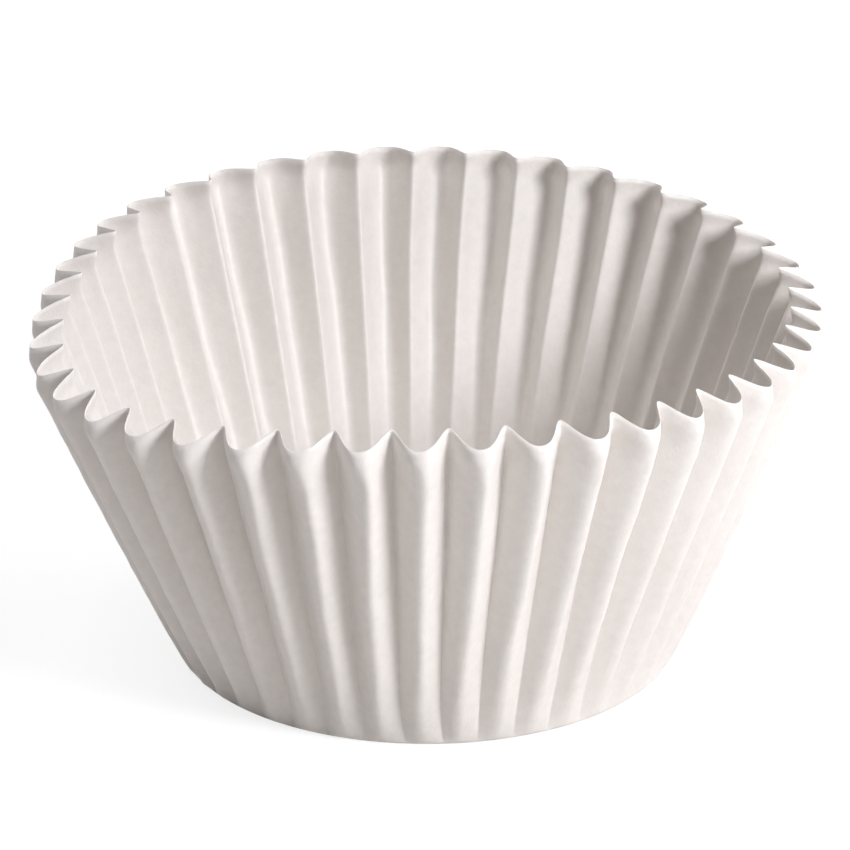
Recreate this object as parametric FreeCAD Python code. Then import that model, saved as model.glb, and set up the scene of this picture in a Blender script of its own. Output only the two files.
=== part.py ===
import FreeCAD, Part
import math
import os

# A fluted baking cup, pressed from one flat disc of thin paper.
# The origin is the centre of the underside, +Z points up to the open rim, and -Y is the front.
# The wall is made of flat facets, two triangles for each step around a flute and up the slope.

document = FreeCAD.newDocument("baking_cup")

# Driving dimensions, in millimetres and degrees. Radii are those of the middle of the paper.
sheet = document.addObject("Spreadsheet::Sheet", "sizes")
DIMENSIONS = [
    ("base_radius", 24.8),        # where the line of the wall meets the table
    ("slant_length", 39.6),       # paper from the edge of the base to the rim, up the slope
    ("rim_radius", 40.1),         # crests at the rim
    ("rim_depth", 3.0),           # crest to groove at the rim
    ("depth_growth", 0.6),        # power of the way up the slope by which the flutes deepen
    ("flute_count", 42),          # flutes around the wall
    ("first_crest", 2.9),         # angle of the first crest from +X
    ("crest_bend", 1.7),          # radius of the paper's bend at a crest
    ("groove_bend", 0.25),        # radius of the paper's bend at a groove
    ("heel_bend", 0.6),           # radius of the bend between the base and the wall
    ("paper", 0.06),              # thickness of the paper
]
for row, (alias, value) in enumerate(DIMENSIONS, start=1):
    sheet.set(f"A{row}", alias)
    sheet.set(f"B{row}", str(value))
    sheet.setAlias(f"B{row}", alias)
document.recompute()

base_radius = float(sheet.base_radius)
slant_length = float(sheet.slant_length)
rim_radius = float(sheet.rim_radius)
rim_depth = float(sheet.rim_depth)
depth_growth = float(sheet.depth_growth)
flute_count = round(float(sheet.flute_count))
first_crest = math.radians(float(sheet.first_crest))
crest_bend = float(sheet.crest_bend)
groove_bend = float(sheet.groove_bend)
heel_bend = float(sheet.heel_bend)
paper = float(sheet.paper)

# How finely the facets follow the paper: the ways up the slope where they meet, from 0 at the base to 1
# at the rim, and the steps from the middle of a bend to the flat flank beside it.
STEPS_UP = (0.07, 0.2, 0.42, 0.7, 1.0)
CREST_STEPS = 3
GROOVE_STEPS = 1

# Each flute has an equal share of the circle.
pitch = 2 * math.pi / flute_count
half_pitch = pitch / 2

# The middle of the wall leans out by this angle, measured from the vertical.
rim_middle = rim_radius - rim_depth / 2
lean = math.asin((rim_middle - base_radius) / slant_length)

# The heel's bend starts on the base and ends on the wall, this far from the corner that it rounds off.
heel_reach = heel_bend * math.tan((math.pi / 2 - lean) / 2)
floor_edge = base_radius - heel_reach

# The wall leans, so a level cut through the paper is a little thicker than the paper.
across = paper / math.cos(lean)


def place(angle, radius, height):
    """The point at an angle from the first crest, a radius and a height."""
    turned = angle + first_crest
    return FreeCAD.Vector(radius * math.cos(turned), radius * math.sin(turned), height)


def line_radius(slope, side):
    """Radius of the crest line (side 1) or the groove line (side -1) at a distance up the slope.

    The wall's middle widens evenly, and half of the flute's depth is added or taken off.
    """
    way = slope / slant_length
    middle = base_radius + (rim_middle - base_radius) * way
    return middle + side * rim_depth / 2 * way ** depth_growth


def half_flute(slope, offset):
    """Half a flute seen from above, from its crest to its groove, as pairs of angle and radius.

    The crest and the groove are arcs, and the flank is the straight line that touches one from inside
    the bend and the other from outside. offset is the distance out from the middle of the paper.
    """
    crest_centre = FreeCAD.Vector(line_radius(slope, 1) - crest_bend, 0, 0)
    reach = line_radius(slope, -1) + groove_bend
    groove_centre = FreeCAD.Vector(reach * math.cos(half_pitch), reach * math.sin(half_pitch), 0)
    between = groove_centre - crest_centre
    flank_turn = math.atan2(between.y, between.x) - math.acos((crest_bend + groove_bend) / between.Length)
    points = []
    for step in range(CREST_STEPS + 1):
        turn = flank_turn * step / CREST_STEPS
        outward = FreeCAD.Vector(math.cos(turn), math.sin(turn), 0)
        points.append(crest_centre + outward * (crest_bend + offset))
    for step in range(GROOVE_STEPS + 1):
        turn = flank_turn + (half_pitch - flank_turn) * step / GROOVE_STEPS
        outward = FreeCAD.Vector(math.cos(turn), math.sin(turn), 0)
        points.append(groove_centre - outward * (groove_bend - offset))
    return [(math.atan2(point.y, point.x), math.hypot(point.x, point.y)) for point in points]


def whole_flute(slope, offset):
    """One flute seen from above, from groove to groove."""
    half = half_flute(slope, offset)
    mirrored = [(-angle, radius) for angle, radius in reversed(half[1:])]
    return mirrored + half


def wall_rows(offset):
    """Points of one flute on one face of the paper, a row for each step up the slope.

    Each column climbs by the height that its length of paper leaves once its radius has grown, so the
    grooves, which lean out less, end a little higher than the crests.
    """
    slopes = [heel_reach] + [slant_length * way for way in STEPS_UP]
    plans = [whole_flute(slope, offset) for slope in slopes]
    heights = [heel_reach * math.cos(lean)] * len(plans[0])
    rows = []
    for index, plan in enumerate(plans):
        if index > 0:
            length = slopes[index] - slopes[index - 1]
            growths = [upper[1] - lower[1] for upper, lower in zip(plan, plans[index - 1])]
            heights = [height + math.sqrt(length ** 2 - growth ** 2) for height, growth in zip(heights, growths)]
        rows.append([place(angle, radius, height) for (angle, radius), height in zip(plan, heights)])
    return rows


def floor_row(height):
    """Points on the edge of the flat floor, one below each column of one flute."""
    return [place(angle, floor_edge, height) for angle, radius in whole_flute(heel_reach, 0)]


def facet(*corners):
    """One flat face with these corners."""
    return Part.Face(Part.makePolygon(list(corners) + [corners[0]]))


def strip(lower, upper):
    """Two triangles for each step along two rows of points."""
    facets = []
    for left, right, above_left, above_right in zip(lower, lower[1:], upper, upper[1:]):
        facets.append(facet(left, right, above_right))
        facets.append(facet(left, above_right, above_left))
    return facets


def flute_facets():
    """Both faces of the paper in one flute, from the edge of the floor to the rim, and the cut edge there."""
    outside = [floor_row(0)] + wall_rows(across / 2)
    inside = [floor_row(paper)] + wall_rows(-across / 2)
    facets = strip(outside[-1], inside[-1])
    for rows in (outside, inside):
        for lower, upper in zip(rows, rows[1:]):
            facets += strip(lower, upper)
    return Part.makeCompound(facets)


def floor_facet(height):
    """The flat floor, or its underside, out to the points where the flutes start."""
    one_flute = floor_row(height)[:-1]
    edge = []
    for index in range(flute_count):
        turn = FreeCAD.Rotation(FreeCAD.Vector(0, 0, 1), math.degrees(index * pitch))
        edge += [turn.multVec(point) for point in one_flute]
    return facet(*edge)


def make_liner():
    """The whole cup: one flute repeated around, closed by the floor and sewn to one solid."""
    flute = flute_facets()
    facets = [floor_facet(0), floor_facet(paper)]
    for index in range(flute_count):
        copy = flute.copy()
        copy.rotate(FreeCAD.Vector(0, 0, 0), FreeCAD.Vector(0, 0, 1), math.degrees(index * pitch))
        facets += copy.Faces
    shell = Part.makeShell(facets)
    shell.sewShape()
    solid = Part.Solid(shell)
    if solid.Volume < 0:
        solid.reverse()
    return solid


liner = document.addObject("Part::Feature", "liner")
liner.Label = "liner"
liner.Shape = make_liner()
document.recompute()

for item in document.Objects:
    if "Invalid" in item.State or "Error" in item.State:
        raise RuntimeError(f"{item.Label} has failed")
shape = liner.Shape
if shape.isNull() or not shape.isValid() or len(shape.Solids) != 1:
    raise RuntimeError(f"{liner.Label} is not one valid solid")

os.makedirs("parts", exist_ok=True)
shape.exportStep(f"parts/{liner.Label}.step")
box = shape.BoundBox
print(liner.Label, "faces", len(shape.Faces), "volume", round(shape.Volume, 2))
print("width", round(box.XLength, 2), "depth", round(box.YLength, 2), "height", round(box.ZLength, 2))
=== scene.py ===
"""A fluted baking cup of thin white paper, dressed for its portrait.

The cup is one sheet: a flat base, a short bend at the heel and a wall of narrow flutes that deepen towards
an open rim. It is worked out here as a surface of two parameters, the way up the paper and the way around.
"""

import math

import bpy
import numpy as np
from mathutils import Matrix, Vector


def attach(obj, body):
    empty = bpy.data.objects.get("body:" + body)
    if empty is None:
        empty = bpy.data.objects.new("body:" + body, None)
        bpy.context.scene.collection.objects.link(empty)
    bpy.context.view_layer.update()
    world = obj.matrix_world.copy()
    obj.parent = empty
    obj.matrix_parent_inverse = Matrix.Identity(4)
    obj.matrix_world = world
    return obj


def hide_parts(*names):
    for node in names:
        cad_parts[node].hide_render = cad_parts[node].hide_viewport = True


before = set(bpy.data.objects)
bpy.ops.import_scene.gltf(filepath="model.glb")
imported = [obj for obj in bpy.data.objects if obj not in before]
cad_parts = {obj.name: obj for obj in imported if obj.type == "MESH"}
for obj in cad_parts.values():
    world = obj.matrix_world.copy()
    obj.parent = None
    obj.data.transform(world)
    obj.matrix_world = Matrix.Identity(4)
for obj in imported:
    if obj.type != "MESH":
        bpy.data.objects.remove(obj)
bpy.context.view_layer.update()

bl_info = {
    "name": "Fluted Baking Cup",
    "version": (1, 0, 0),
    "blender": (4, 5, 0),
    "location": "View3D > Sidebar > Baking Cup",
    "description": "Builds a pleated paper baking cup and its photo stage",
    "category": "Add Mesh",
}

MM = 0.001

# How the pressed sheet leaves the true circle. Each wave is (waves around, size, angle of its first high).
# All are in millimetres at the rim, except the turns of the flutes, which are in degrees.
RADIUS_WAVES = ((1, 0.46, 170.0), (2, 0.88, 65.0), (3, 0.78, -12.3), (4, 0.64, 33.8), (5, 0.15, -7.6))
LENGTH_WAVES = ((1, 0.20, 157.0), (2, 0.86, -85.0))
DEPTH_WAVES = ((1, 0.17, 128.0), (2, 0.26, -20.8))
CREST_DROP_WAVES = ((1, 0.44, -74.0), (2, 0.12, 3.0))
RIM_TURN_WAVES = ((1, 1.35, -142.0), (2, 0.34, 42.5), (3, 0.53, -41.9))
BASE_TURN_WAVES = ((1, 0.45, 95.0), (2, 0.3, 95.0))

# At the front the lowest flutes were dragged sideways. Angles are in degrees, lengths in millimetres.
FOOT_DRAG = {"angle": -92.0, "width": 9.0, "reach": 6.0, "turn": 1.3}
# A small dent on one front crest
DENT = {"angle": -98.3, "up": 20.5, "radius": 1.1, "depth": 0.22}

# Each random relief is a sum of this many cosines. Each one below is (limit of its waves around, seed).
RELIEF_WAVES = 30
COCKLE_RELIEF = (130, 3)
CREST_RELIEF = (30, 5)
FOLD_RELIEF = (18, 7)

# Half the width of the pinch in a groove, as a share of half a flute
PINCH_WIDTH = 0.07

# Columns of the mesh across half a flute, from the crest (0) to the groove (1), close together at the fold
HALF_FLUTE = np.array((0.0, 0.08, 0.17, 0.26, 0.35, 0.44, 0.54, 0.68, 0.82, 0.90, 0.96))
# Rows of the mesh: radii on the floor as shares of its edge, steps round the heel, steps up the wall with the
# power that draws them together at the heel, and heights in the lip as shares of it, measured from the rim
FLOOR_ROWS = (0.12, 0.3, 0.5, 0.7, 0.85, 0.95, 1.0)
HEEL_STEPS = 4
WALL_STEPS = 34
WALL_SPREAD = 1.35
LIP_ROWS = np.array((1.3, 1.0, 0.8, 0.6, 0.35, 0.0))

# Noise in the paper: soft clouds of two whites, and fibres that raise its surface
CLOUDS = {"Scale": 900.0, "Detail": 5.0, "Roughness": 0.65}
FIBRES = {"Scale": 3000.0, "Detail": 3.0, "Roughness": 0.6}
FIBRE_BUMP = {"Strength": 0.6, "Distance": 0.00006}

# Half the side of the floor, in metres. The camera sees a grey floor with a glow, which adds up to white with
# a pale shadow, and the cup is lit by a white one.
FLOOR_HALF = 3.0
SEEN_FLOOR = (0.3, 0.3, 0.3, 1.0)
SEEN_FLOOR_GLOW = 0.8
LIGHTING_FLOOR = (0.86, 0.84, 0.82, 1.0)
# The white behind the cup, and the colour of the even light
BACKDROP = (1.0, 1.0, 1.0, 1.0)
EVEN_LIGHT = (1.0, 1.0, 0.99, 1.0)

# Each lamp is (azimuth from +X, elevation, distance, size, colour), in degrees and metres
LAMPS = {
    "key": (-41.0, 31.0, 0.45, 0.15, (0.95, 0.965, 1.0)),
    "back": (35.0, 36.0, 0.8, 0.40, (0.97, 0.97, 1.0)),
    "top": (176.0, 69.0, 0.8, 0.50, (0.97, 0.97, 1.0)),
}
LAMP_AIM = Vector((0.0, 0.0, 0.02))


class CupSizes(bpy.types.PropertyGroup):
    """Sizes of the paper cup."""

    base_radius: bpy.props.FloatProperty(
        name="Base radius", description="Where the line of the wall meets the table",
        default=24.8 * MM, unit="LENGTH")
    paper_length: bpy.props.FloatProperty(
        name="Paper length", description="Paper from the edge of the base to the rim, up the slope",
        default=39.6 * MM, unit="LENGTH")
    rim_radius: bpy.props.FloatProperty(
        name="Rim radius", description="Crests where the wall's line reaches the rim",
        default=40.4 * MM, unit="LENGTH")
    paper: bpy.props.FloatProperty(
        name="Paper thickness", description="Thickness of the paper", default=0.06 * MM, unit="LENGTH")
    heel_bend: bpy.props.FloatProperty(
        name="Heel bend", description="Radius of the bend between base and wall",
        default=0.6 * MM, unit="LENGTH")
    flute_count: bpy.props.IntProperty(
        name="Flutes", description="Flutes around the wall", default=42)
    first_groove: bpy.props.FloatProperty(
        name="First groove", description="Angle of the first groove from +X",
        default=math.radians(195.75), subtype="ANGLE")
    flute_depth: bpy.props.FloatProperty(
        name="Flute depth", description="Crest to groove at the rim", default=3.0 * MM, unit="LENGTH")
    depth_growth: bpy.props.FloatProperty(
        name="Depth growth", description="Power of the way up by which the flutes deepen", default=0.55)
    crest_arc: bpy.props.FloatProperty(
        name="Crest arc", description="Bend on a crest's broad side, as a share of half a flute",
        default=0.48, min=0.01, max=0.8, subtype="FACTOR")
    ridge_arc: bpy.props.FloatProperty(
        name="Ridge arc", description="Bend on a crest's tight side, as a share of half a flute",
        default=0.23, min=0.01, max=0.8, subtype="FACTOR")
    back_arc: bpy.props.FloatProperty(
        name="Back arc", description="Bend on a crest at the back of the cup, as a share of half a flute",
        default=0.33, min=0.01, max=0.8, subtype="FACTOR")
    groove_arc: bpy.props.FloatProperty(
        name="Groove arc", description="Bend in a groove below the opened rim, as a share of half a flute",
        default=0.11, min=0.01, max=0.2, subtype="FACTOR")
    pinch: bpy.props.FloatProperty(
        name="Pinch", description="Extra depth of the sharp fold in a front groove, as a share of the depth",
        default=0.1, min=0.0, max=1.0, subtype="FACTOR")
    wall_flatness: bpy.props.FloatProperty(
        name="Wall flatness", description="How flat the flanks of the flutes are below the rim",
        default=0.9, min=0.0, max=1.0, subtype="FACTOR")
    ridge_lean: bpy.props.FloatProperty(
        name="Ridge lean", description="How far front crests lean around near the rim, as a share of a flute",
        default=0.13, min=-0.5, max=0.5, subtype="FACTOR")
    foot_lean: bpy.props.FloatProperty(
        name="Foot lean", description="How far front crests lean around at the base, as a share of a flute",
        default=-0.04, min=-0.5, max=0.5, subtype="FACTOR")
    opening: bpy.props.FloatProperty(
        name="Opening", description="Length below the rim over which the pressed folds open",
        default=4.5 * MM, unit="LENGTH")
    rim_power: bpy.props.FloatProperty(
        name="Rim power", description="Roundness of the crests at the rim, where 2 is a parabola",
        default=2.35)
    rim_bend: bpy.props.FloatProperty(
        name="Rim bend", description="Bend in a groove at the rim, as a share of half a flute",
        default=0.22, min=0.0, max=1.0, subtype="FACTOR")
    lip: bpy.props.FloatProperty(
        name="Lip", description="Length of paper below the rim that stands more upright than the wall",
        default=1.9 * MM, unit="LENGTH")
    lip_bend: bpy.props.FloatProperty(
        name="Lip bend", description="Length of paper over which the lip bends away from the wall",
        default=0.7 * MM, unit="LENGTH")
    lip_turn: bpy.props.FloatProperty(
        name="Lip turn", description="Angle between the lip and the wall",
        default=math.radians(24.0), subtype="ANGLE")
    cockle: bpy.props.FloatProperty(
        name="Cockle", description="Height of the paper's small unevenness",
        default=0.02 * MM, unit="LENGTH")
    wander: bpy.props.FloatProperty(
        name="Wander", description="How far the folds wander to the side, as a share of a flute",
        default=0.012, min=0.0, max=0.5, subtype="FACTOR")


class PaperLook(bpy.types.PropertyGroup):
    """Colours and surface of the paper."""

    warm: bpy.props.FloatVectorProperty(
        name="Warm white", description="Main colour of the paper", subtype="COLOR",
        size=4, default=(0.87, 0.822, 0.785, 1.0))
    cool: bpy.props.FloatVectorProperty(
        name="Cool white", description="Colour of the paper's denser clouds", subtype="COLOR",
        size=4, default=(0.72, 0.688, 0.662, 1.0))
    glow: bpy.props.FloatVectorProperty(
        name="Glow", description="Colour of the light that comes through the paper", subtype="COLOR",
        size=4, default=(0.90, 0.77, 0.56, 1.0))
    roughness: bpy.props.FloatProperty(
        name="Roughness", description="Roughness of the paper's surface",
        default=0.42, min=0.0, max=1.0, subtype="FACTOR")
    shine: bpy.props.FloatProperty(
        name="Shine", description="Strength of the soft mirror light on the paper",
        default=0.4, min=0.0, max=1.0, subtype="FACTOR")
    translucence: bpy.props.FloatProperty(
        name="Translucence", description="Share of the light that comes through the paper",
        default=0.1, min=0.0, max=1.0, subtype="FACTOR")


class StageLook(bpy.types.PropertyGroup):
    """Camera, lamps and even light."""

    camera_height: bpy.props.FloatProperty(
        name="Camera elevation", description="Angle of the camera above the table",
        default=math.radians(23.12), subtype="ANGLE")
    camera_distance: bpy.props.FloatProperty(
        name="Camera distance", description="From the lens to the middle of the picture",
        default=0.6437, unit="LENGTH")
    lens: bpy.props.FloatProperty(
        name="Lens", description="Focal length on a sensor 36 mm wide", default=273.3, unit="CAMERA")
    aim_side: bpy.props.FloatProperty(
        name="Aim to the side", description="Middle of the picture to the right of the cup's axis",
        default=-0.0002, unit="LENGTH")
    aim_height: bpy.props.FloatProperty(
        name="Aim height", description="Middle of the picture above the table",
        default=0.0234, unit="LENGTH")
    key_power: bpy.props.FloatProperty(
        name="Key power", description="Power of the soft lamp at the front right",
        default=2.06, unit="POWER")
    back_power: bpy.props.FloatProperty(
        name="Back power", description="Power of the soft lamp at the back right",
        default=2.6, unit="POWER")
    top_power: bpy.props.FloatProperty(
        name="Top power", description="Power of the wide lamp high on the left",
        default=3.3, unit="POWER")
    even_light: bpy.props.FloatProperty(
        name="Even light", description="Strength of the even light from all around", default=0.02)


def waves(angle, parts, unit):
    """Sum of size times cos(n times (angle minus the angle of the high)) over the parts."""
    total = np.zeros_like(angle)
    for count, size, high in parts:
        total += size * unit * np.cos(count * (angle - math.radians(high)))
    return total


def hump(distance):
    """A smooth hump: 1 at 0, falling to 0 as exp(-distance^2)."""
    return np.exp(-distance ** 2)


def degrees_from(middle, around):
    """Degrees around the cup from a middle angle, between -180 and 180."""
    return (np.degrees(around) - middle + 180) % 360 - 180


def relief(around, way, finest, seed):
    """A smooth random relief about 1 high: a sum of cosines that run around and up with seeded phases."""
    chance = np.random.default_rng(seed)
    steepest = finest / 9
    total = np.zeros(np.broadcast(around, way).shape)
    for _ in range(RELIEF_WAVES):
        turns = int(chance.integers(2, finest))
        climb = chance.uniform(-steepest, steepest)
        total += np.cos(turns * around + climb * 2 * math.pi * way + chance.uniform(0, 2 * math.pi))
    return total / math.sqrt(RELIEF_WAVES / 2)


def flute_columns(count):
    """Positions around the cup in flutes: whole numbers are grooves, and halves are crests."""
    out = 0.5 + HALF_FLUTE / 2
    back = 0.5 - HALF_FLUTE[1:][::-1] / 2
    one = np.concatenate([[0.0], back, out])
    return (np.arange(count)[:, None] + one).ravel()


def pressed(distance, crest_arc, groove_arc):
    """Share of the depth at a distance from the crest (0) to the groove (1) of a pressed flute.

    The slope grows evenly over the crest's arc, stays the same along the flat flank and fades evenly over
    the groove's arc. The two arcs are given as shares of half a flute.
    """
    slope = 1 / (1 - crest_arc / 2 - groove_arc / 2)
    on_crest = slope * distance ** 2 / (2 * crest_arc)
    on_flank = slope * (distance - crest_arc / 2)
    in_groove = 1 - slope * (1 - distance) ** 2 / (2 * groove_arc)
    return np.where(distance < crest_arc, on_crest, np.where(distance < 1 - groove_arc, on_flank, in_groove))


def opened_out(distance, power, bend):
    """Share of the depth where a flute has sprung open: a broad crest, as a power, and a rounded groove."""
    from_groove = 1 - distance
    soft = (np.sqrt(from_groove ** 2 + bend ** 2) - bend) / (math.sqrt(1 + bend ** 2) - bend)
    return np.clip(1 - soft, 0, 1) ** power


def fold(position, around, opened, sizes):
    """Depth of a flute at a position, from 0 on the crest to 1 in the groove, pressed or sprung open.

    At the front of the cup a crest is broad on its left side and tight on its right, as seen from the front,
    and the groove is pinched into a short sharp fold. Towards the back both sides grow alike and the pinch
    fades.
    """
    in_flute = position - np.floor(position)
    distance = np.abs(2 * in_flute - 1)
    to_back = (1 + np.sin(around)) / 2
    front_arc = np.where(in_flute > 0.5, sizes.ridge_arc, sizes.crest_arc)
    crest_arc = front_arc + (sizes.back_arc - front_arc) * to_back
    pinch = sizes.pinch * (1 - to_back) * hump((1 - distance) / PINCH_WIDTH)
    closed = pressed(distance, crest_arc, sizes.groove_arc) + pinch
    broad = opened_out(distance, sizes.rim_power, sizes.rim_bend)
    return broad + (closed - broad) * (1 - opened) * sizes.wall_flatness


def wall_lean(sizes):
    """Angle of the wall's middle from the vertical: its sine is the gain in radius over the paper's length."""
    rim_middle = sizes.rim_radius - sizes.flute_depth / 2
    return math.asin((rim_middle - sizes.base_radius) / sizes.paper_length)


def floor_and_heel(around, floor_edge, sizes):
    """Rows of the flat floor, then of the heel, an arc that turns from flat to the lean of the wall."""
    rows = [(share * floor_edge, 0.0) for share in FLOOR_ROWS]
    for turned in np.linspace(0, math.pi / 2 - wall_lean(sizes), HEEL_STEPS + 1)[1:-1]:
        out = sizes.heel_bend * math.sin(turned)
        up = sizes.heel_bend * (1 - math.cos(turned))
        rows.append((floor_edge + out, up))
    return np.array([np.stack([r * np.cos(around), r * np.sin(around), up + 0 * around], -1) for r, up in rows])


def ways_up(start, sizes):
    """Way up the wall of each row, from the end of the heel to 1 at the rim, as a column."""
    spread = np.linspace(0, 1, WALL_STEPS + 1) ** WALL_SPREAD
    in_lip = 1 - sizes.lip / sizes.paper_length * LIP_ROWS
    # The rows of the lip take the place of the last three even ones
    way = np.concatenate([spread[:-3], in_lip])
    return (start + (1 - start) * way)[:, None]


def wall_radius(around, way, depth_share, sizes):
    """Radius of the wall: the groove line plus what the fold leaves of the flute's depth.

    r = groove(v) + depth(v) * (1 - fold), with depth(v) = depth at the rim * v ^ growth. The groove line
    runs so that the middle of the wall climbs evenly. The unevenness, the dent and the lip are added to it.
    """
    rim_depth = sizes.flute_depth + waves(around, DEPTH_WAVES, MM)
    depth = rim_depth * way ** sizes.depth_growth
    groove_rim = sizes.rim_radius - sizes.flute_depth
    groove = sizes.base_radius + (groove_rim - sizes.base_radius) * way + (rim_depth * way - depth) / 2
    r = groove + depth * (1 - depth_share) + waves(around, RADIUS_WAVES, MM) * way
    r = r + sizes.cockle * relief(around, way, *COCKLE_RELIEF) * np.sqrt(way)

    # The dent, with distances in millimetres
    aside = np.radians(degrees_from(DENT["angle"], around)) * r / MM
    above = way * sizes.paper_length / MM - DENT["up"]
    r = r - DENT["depth"] * MM * hump(np.hypot(aside, above) / DENT["radius"])

    # The lip turns inwards from the wall's line, first along an arc and then straight
    past = np.clip(way * sizes.paper_length - (sizes.paper_length - sizes.lip), 0, None)
    turned_in = np.where(past < sizes.lip_bend, past ** 2 / (2 * sizes.lip_bend), past - sizes.lip_bend / 2)
    return r - turned_in * math.tan(sizes.lip_turn)


def wall_height(around, way, r, depth_share, sizes):
    """Height of the wall. Each column of the paper keeps its length, and the crests drop a little.

    The height is the running sum of sqrt(step^2 - growth of the radius^2).
    """
    length = sizes.paper_length + waves(around, LENGTH_WAVES, MM)
    steps = np.diff(way, axis=0) * length
    climbs = np.sqrt(np.maximum(steps ** 2 - np.diff(r, axis=0) ** 2, 0))
    heel_top = sizes.heel_bend * (1 - math.sin(wall_lean(sizes)))
    height = heel_top + np.vstack([0 * around, np.cumsum(climbs, axis=0)])
    return height - waves(around, CREST_DROP_WAVES, MM) * (1 - depth_share) * way


def wall_angle(position, around, way, opened, sizes):
    """Angle around the cup: the even spacing, the waves, the lean and wander of the folds, and the foot drag."""
    pitch = 2 * math.pi / sizes.flute_count
    lean = sizes.foot_lean + (sizes.ridge_lean - sizes.foot_lean) * way
    lean = lean * (1 - np.sin(around)) / 2 * (1 - opened) + sizes.wander * relief(around, way, *CREST_RELIEF)
    on_crest = np.sin(math.pi * position) ** 2
    rim_turn = waves(around, RIM_TURN_WAVES, math.radians(1))
    base_turn = waves(around, BASE_TURN_WAVES, math.radians(1))
    angle = around + rim_turn * way + base_turn * (1 - way) + pitch * lean * on_crest
    angle = angle + pitch * sizes.wander * relief(around, way, *FOLD_RELIEF) * way

    aside = degrees_from(FOOT_DRAG["angle"], around)
    foot = np.clip(1 - way * sizes.paper_length / MM / FOOT_DRAG["reach"], 0, 1) ** 2
    return angle + math.radians(FOOT_DRAG["turn"]) * hump(aside / FOOT_DRAG["width"]) * foot


def cup_surface(sizes):
    """Middle of the paper from the centre of the base to the rim, as rows of points."""
    position = flute_columns(sizes.flute_count)
    around = sizes.first_groove + 2 * math.pi * position / sizes.flute_count
    reach = sizes.heel_bend * math.tan((math.pi / 2 - wall_lean(sizes)) / 2)
    way = ways_up(reach / sizes.paper_length, sizes)

    # From 0 to 1 as 3t^2 - 2t^3 over the length where the folds open
    opened = np.clip(1 - (1 - way) * sizes.paper_length / sizes.opening, 0, 1)
    opened = opened ** 2 * (3 - 2 * opened)

    depth_share = fold(position, around, opened, sizes)
    r = wall_radius(around, way, depth_share, sizes)
    height = wall_height(around, way, r, depth_share, sizes)
    angle = wall_angle(position, around, way, opened, sizes)
    wall = np.stack([r * np.cos(angle), r * np.sin(angle), height], -1)
    return np.concatenate([floor_and_heel(around, sizes.base_radius - reach, sizes), wall])


def normals_of(grid):
    """Unit normals of a grid of points closed around its columns, pointing out of the cup."""
    along = np.gradient(grid, axis=0)
    across = np.roll(grid, -1, axis=1) - np.roll(grid, 1, axis=1)
    normal = np.cross(across, along)
    return normal / np.linalg.norm(normal, axis=-1, keepdims=True)


def sheet_mesh(name, middle, thickness):
    """A closed sheet from its middle surface: the outside, the inside, the cut edge and two poles."""
    normal = normals_of(middle)
    outside = middle + normal * thickness / 2
    inside = middle - normal * thickness / 2
    lift = -outside[:, :, 2].min()
    grid = np.concatenate([outside, inside[::-1]])
    grid[:, :, 2] += lift

    row_count, column_count = grid.shape[:2]
    index = np.arange(row_count * column_count).reshape(row_count, column_count)
    beside = np.roll(index, -1, axis=1)
    quads = np.stack([index[:-1], beside[:-1], beside[1:], index[1:]], -1).reshape(-1, 4)

    # A pole closes the underside, and another the floor inside
    under, inner = index.size, index.size + 1
    poles = np.array([[0, 0, grid[0, :, 2].mean()], [0, 0, grid[-1, :, 2].mean()]])
    first = np.stack([beside[0], index[0], np.full(column_count, under)], -1)
    last = np.stack([index[-1], beside[-1], np.full(column_count, inner)], -1)
    points = np.concatenate([grid.reshape(-1, 3), poles])
    mesh = bpy.data.meshes.new(name)
    mesh.from_pydata(points.tolist(), [], quads.tolist() + first.tolist() + last.tolist())
    mesh.validate()
    return mesh


def link(name, data):
    """An object for a mesh, lamp or camera, at the origin."""
    piece = bpy.data.objects.new(name, data)
    bpy.context.scene.collection.objects.link(piece)
    return piece


def add_node(nodes, kind, values):
    """A shader node of a kind, with values for some of its inputs."""
    node = nodes.new(kind)
    for name, value in values.items():
        node.inputs[name].default_value = value
    return node


def empty_tree(owner):
    """Nodes and links of a material or world, with the nodes that it starts with taken out."""
    owner.use_nodes = True
    owner.node_tree.nodes.clear()
    return owner.node_tree.nodes, owner.node_tree.links


def paper_material(look):
    """Thin white paper: soft clouds of two whites, a fibrous bump and some light that comes through."""
    material = bpy.data.materials.new("white_paper")
    nodes, links = empty_tree(material)
    output = nodes.new("ShaderNodeOutputMaterial")
    shader = add_node(nodes, "ShaderNodeBsdfPrincipled",
                      {"Roughness": look.roughness, "Specular IOR Level": look.shine})
    through = add_node(nodes, "ShaderNodeBsdfTranslucent", {"Color": look.glow})
    blend = add_node(nodes, "ShaderNodeMixShader", {"Fac": look.translucence})

    place = nodes.new("ShaderNodeTexCoord")
    clouds = add_node(nodes, "ShaderNodeTexNoise", CLOUDS)
    tint = nodes.new("ShaderNodeMix")
    tint.data_type = "RGBA"
    tint.inputs["A"].default_value = look.warm
    tint.inputs["B"].default_value = look.cool
    fibres = add_node(nodes, "ShaderNodeTexNoise", FIBRES)
    bump = add_node(nodes, "ShaderNodeBump", FIBRE_BUMP)

    links.new(place.outputs["Object"], clouds.inputs["Vector"])
    links.new(place.outputs["Object"], fibres.inputs["Vector"])
    links.new(clouds.outputs["Fac"], tint.inputs["Factor"])
    links.new(tint.outputs["Result"], shader.inputs["Base Color"])
    links.new(fibres.outputs["Fac"], bump.inputs["Height"])
    links.new(bump.outputs["Normal"], shader.inputs["Normal"])
    links.new(shader.outputs["BSDF"], blend.inputs[1])
    links.new(through.outputs["BSDF"], blend.inputs[2])
    links.new(blend.outputs["Shader"], output.inputs["Surface"])
    return material


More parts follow.
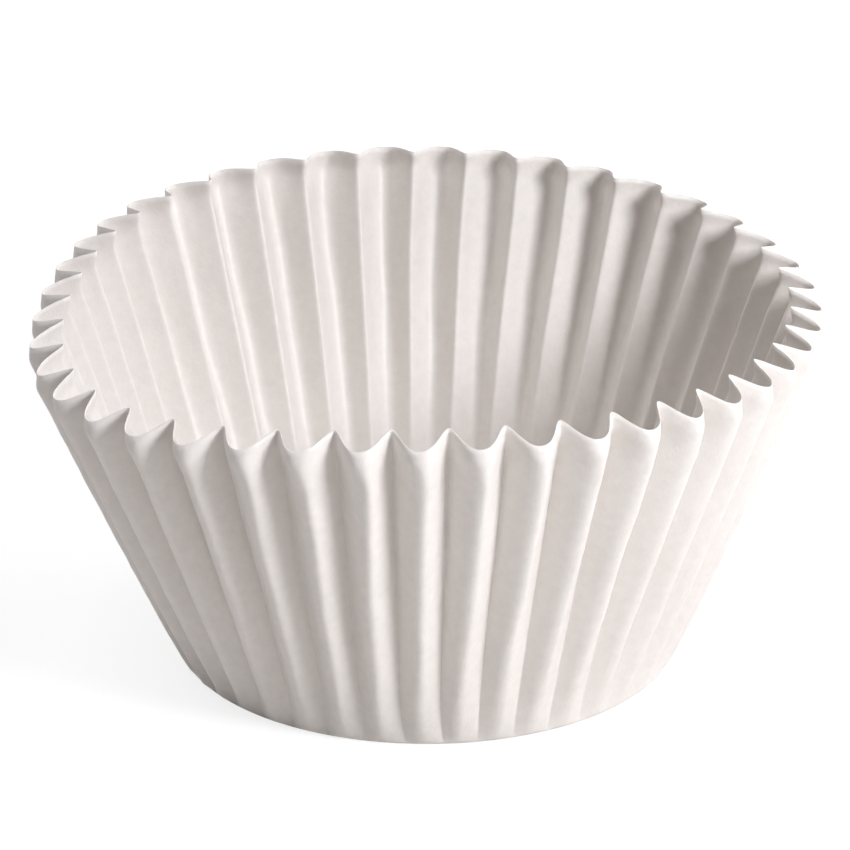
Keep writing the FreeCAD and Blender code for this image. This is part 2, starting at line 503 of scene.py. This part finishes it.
def background_rays(nodes, links):
    """1 for rays that show the background: from the camera, a mirror or clear glass, but not from matt paper."""
    path = nodes.new("ShaderNodeLightPath")
    total = path.outputs["Is Camera Ray"]
    for name, action in (("Is Glossy Ray", "ADD"), ("Is Transmission Ray", "ADD"), ("Is Diffuse Ray", "SUBTRACT")):
        step = nodes.new("ShaderNodeMath")
        step.operation = action
        step.use_clamp = True
        links.new(total, step.inputs[0])
        links.new(path.outputs[name], step.inputs[1])
        total = step.outputs["Value"]
    return total


def floor_material():
    """A white floor. The camera sees it paler than it is, so only the cup's shadow stands out on it."""
    material = bpy.data.materials.new("pale_floor")
    nodes, links = empty_tree(material)
    output = nodes.new("ShaderNodeOutputMaterial")
    shaded = add_node(nodes, "ShaderNodeBsdfDiffuse", {"Color": SEEN_FLOOR})
    white = add_node(nodes, "ShaderNodeEmission", {"Strength": SEEN_FLOOR_GLOW})
    seen = nodes.new("ShaderNodeAddShader")
    unseen = add_node(nodes, "ShaderNodeBsdfDiffuse", {"Color": LIGHTING_FLOOR})
    blend = nodes.new("ShaderNodeMixShader")
    links.new(background_rays(nodes, links), blend.inputs["Fac"])
    links.new(shaded.outputs["BSDF"], seen.inputs[0])
    links.new(white.outputs["Emission"], seen.inputs[1])
    links.new(unseen.outputs["BSDF"], blend.inputs[1])
    links.new(seen.outputs["Shader"], blend.inputs[2])
    links.new(blend.outputs["Shader"], output.inputs["Surface"])
    return material


def even_world(strength):
    """A world that shows white behind the cup and lights it evenly and faintly."""
    world = bpy.data.worlds.new("even_light")
    nodes, links = empty_tree(world)
    output = nodes.new("ShaderNodeOutputWorld")
    seen = add_node(nodes, "ShaderNodeBackground", {"Strength": 1.0, "Color": BACKDROP})
    unseen = add_node(nodes, "ShaderNodeBackground", {"Strength": strength, "Color": EVEN_LIGHT})
    blend = nodes.new("ShaderNodeMixShader")
    links.new(background_rays(nodes, links), blend.inputs["Fac"])
    links.new(unseen.outputs["Background"], blend.inputs[1])
    links.new(seen.outputs["Background"], blend.inputs[2])
    links.new(blend.outputs["Shader"], output.inputs["Surface"])
    return world


def area_lamp(name, power):
    """A square soft lamp at its azimuth, elevation and distance from the aim, turned to the aim."""
    azimuth, elevation, distance, size, colour = LAMPS[name]
    around, up = math.radians(azimuth), math.radians(elevation)
    away = Vector((math.cos(up) * math.cos(around), math.cos(up) * math.sin(around), math.sin(up)))
    lamp = bpy.data.lights.new(name, "AREA")
    lamp.size = size
    lamp.energy = power
    lamp.color = colour
    holder = link(name, lamp)
    holder.location = LAMP_AIM + away * distance
    holder.rotation_euler = (-away).to_track_quat("-Z", "Y").to_euler()


def photo_camera(look):
    """A camera that sees the cup as the photo does: in front of it, level, and looking down on it."""
    camera = link("camera", bpy.data.cameras.new("camera"))
    camera.data.sensor_width = 36.0
    camera.data.lens = look.lens
    camera.data.clip_start = 0.01
    camera.data.clip_end = 20.0
    tilt = look.camera_height
    camera.location = (look.aim_side, -look.camera_distance * math.cos(tilt),
                       look.aim_height + look.camera_distance * math.sin(tilt))
    camera.rotation_euler = (math.pi / 2 - tilt, 0.0, 0.0)
    return camera


class CUP_OT_liner(bpy.types.Operator):
    """Build the fluted paper cup"""

    bl_idname = "cup.liner"
    bl_label = "Build Paper Cup"

    def execute(self, context):
        sizes = context.scene.cup_sizes
        mesh = sheet_mesh("liner_paper", cup_surface(sizes), sizes.paper)
        mesh.shade_smooth()
        piece = link("liner_paper", mesh)
        piece.data.materials.append(paper_material(context.scene.paper_look))
        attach(piece, "root")
        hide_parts("liner")
        return {"FINISHED"}


class CUP_OT_stage(bpy.types.Operator):
    """Build the floor, the lamps, the even light and the camera"""

    bl_idname = "cup.stage"
    bl_label = "Build Stage"

    def execute(self, context):
        scene = context.scene
        look = scene.stage_look
        corners = [(x * FLOOR_HALF, y * FLOOR_HALF, 0) for x, y in ((-1, -1), (1, -1), (1, 1), (-1, 1))]
        mesh = bpy.data.meshes.new("floor")
        mesh.from_pydata(corners, [], [(0, 1, 2, 3)])
        floor = link("floor", mesh)
        floor.data.materials.append(floor_material())

        area_lamp("key", look.key_power)
        area_lamp("back", look.back_power)
        area_lamp("top", look.top_power)
        scene.world = even_world(look.even_light)
        scene.view_settings.view_transform = "Standard"
        scene.camera = photo_camera(look)
        return {"FINISHED"}


class CUP_PT_panel(bpy.types.Panel):
    """Sizes, colours and build buttons"""

    bl_label = "Baking Cup"
    bl_idname = "CUP_PT_panel"
    bl_space_type = "VIEW_3D"
    bl_region_type = "UI"
    bl_category = "Baking Cup"

    def draw(self, context):
        scene = context.scene
        groups = (("Cup", scene.cup_sizes), ("Paper", scene.paper_look), ("Stage", scene.stage_look))
        for title, group in groups:
            self.layout.label(text=title)
            for name in group.__annotations__:
                self.layout.prop(group, name)
        self.layout.operator("cup.liner")
        self.layout.operator("cup.stage")


CLASSES = (CupSizes, PaperLook, StageLook, CUP_OT_liner, CUP_OT_stage, CUP_PT_panel)


def register():
    """Add the classes and their settings to the scene."""
    for entry in CLASSES:
        bpy.utils.register_class(entry)
    bpy.types.Scene.cup_sizes = bpy.props.PointerProperty(type=CupSizes)
    bpy.types.Scene.paper_look = bpy.props.PointerProperty(type=PaperLook)
    bpy.types.Scene.stage_look = bpy.props.PointerProperty(type=StageLook)


def unregister():
    """Take the classes and their settings away again."""
    del bpy.types.Scene.stage_look
    del bpy.types.Scene.paper_look
    del bpy.types.Scene.cup_sizes
    for entry in reversed(CLASSES):
        bpy.utils.unregister_class(entry)


def main():
    register()
    bpy.ops.cup.liner()
    bpy.ops.cup.stage()


if __name__ == "__main__":
    main()
